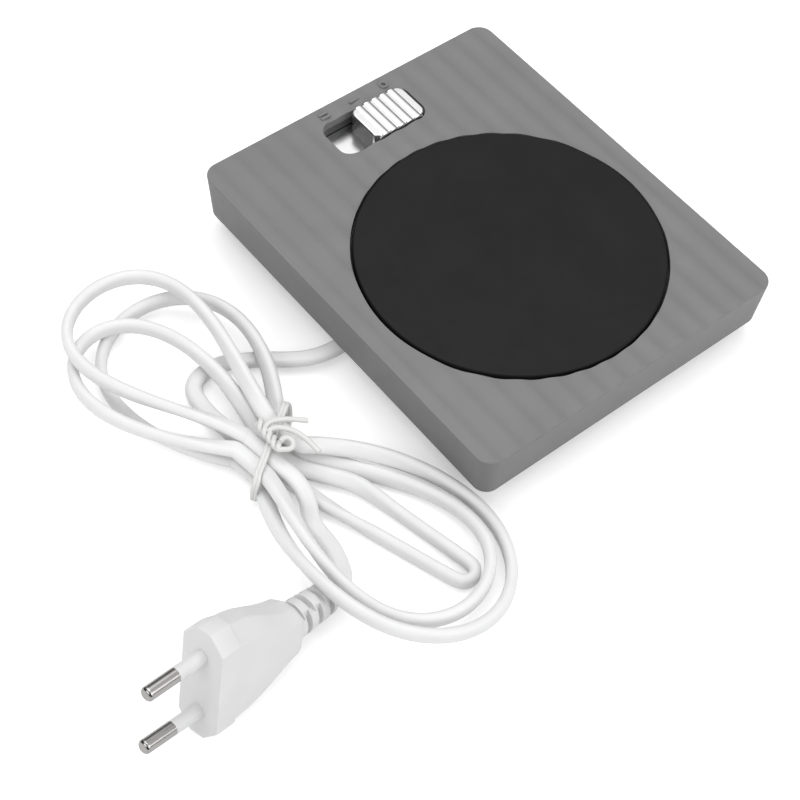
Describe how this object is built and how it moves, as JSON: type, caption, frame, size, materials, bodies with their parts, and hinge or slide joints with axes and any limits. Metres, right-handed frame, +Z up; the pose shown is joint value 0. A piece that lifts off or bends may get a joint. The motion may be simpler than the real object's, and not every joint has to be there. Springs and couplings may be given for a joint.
{
  "type": "electric mug warmer",
  "caption": "Flat rounded-rectangle mug warmer with a round black heating disc, a three-place chrome slide switch, and a tied white mains cord with a flat two-pin plug.",
  "frame": {"origin": "centre of the underside of the housing, on the surface the feet stand on", "axes": "+Z up, +Y towards the switch end, +X towards the off end of the switch slot; the cord leaves on the -X side"},
  "size_m": [0.227, 0.1638, 0.0361],
  "materials": {
    "housing_grey": "satin silver grey",
    "cover_dark": "matt dark grey",
    "disc_black": "fine satin black coating",
    "seal_rubber": "matt black silicone",
    "heater_foil": "etched foil on mica",
    "felt_white": "pressed fibre felt",
    "steel_plain": "plain zinc-plated steel",
    "screw_steel": "zinc-plated",
    "thermostat_black": "moulded",
    "fuse_metal": "plain case",
    "knob_chrome": "polished plating",
    "guide_grey": "matt",
    "retainer_black": "matt",
    "board_tan": "laminate",
    "switch_steel": "folded sheet",
    "lever_black": "moulded",
    "diode_black": "moulded with tinned leads",
    "terminal_brass": "tinned",
    "bushing_white": "soft moulded",
    "grip_white": "moulded",
    "cord_white": "smooth satin sheath",
    "foot_rubber": "matt",
    "wire_brown": "smooth insulation",
    "wire_blue": "smooth insulation",
    "wire_glass": "braided glass sleeve",
    "tie_white": "ribbed plastic strip",
    "plug_white": "smooth moulded",
    "pin_nickel": "bright nickel",
    "sleeve_white": "smooth",
    "bridge_white": "hard insert"
  },
  "bodies": {
    "housing": {"top_housing": "housing_grey", "bottom_cover": "cover_dark", "heating_disc": "disc_black", "disc_seal": "seal_rubber", "heating_element": "heater_foil", "insulation_pad": "felt_white", "clamp_plate": "steel_plain", "clamp_screws": "screw_steel", "thermostat": "thermostat_black", "thermal_fuse": "fuse_metal", "fuse_saddle": "steel_plain", "slide_guide": "guide_grey", "slide_retainer": "retainer_black", "retainer_screws": "screw_steel", "circuit_board": "board_tan", "board_screws": "screw_steel", "switch_body": "switch_steel", "rectifier_diode": "diode_black", "board_terminals": "terminal_brass", "cord_bushing": "bushing_white", "cord_grip": "grip_white", "grip_screws": "screw_steel", "cord_inner_end": "cord_white", "rubber_feet": "foot_rubber", "case_screws": "screw_steel", "live_wire": "wire_brown", "neutral_wire": "wire_blue", "fuse_wire": "wire_glass", "element_wire": "wire_glass", "switched_wire": "wire_brown", "cord_lead": "cord_white", "cord_hank": "cord_white", "cord_tail": "cord_white", "cord_tie": "tie_white", "plug_body": "plug_white", "plug_pins": "pin_nickel", "plug_sleeves": "sleeve_white", "plug_bridge": "bridge_white"},
    "slider": {"slide_knob": "knob_chrome", "switch_lever": "lever_black"}
  },
  "joints": [
    {"name": "slider_travel", "type": "slide", "parent": "housing", "child": "slider", "axis": [-1, 0, 0], "range_m": [0, 0.0106]}
  ]
}
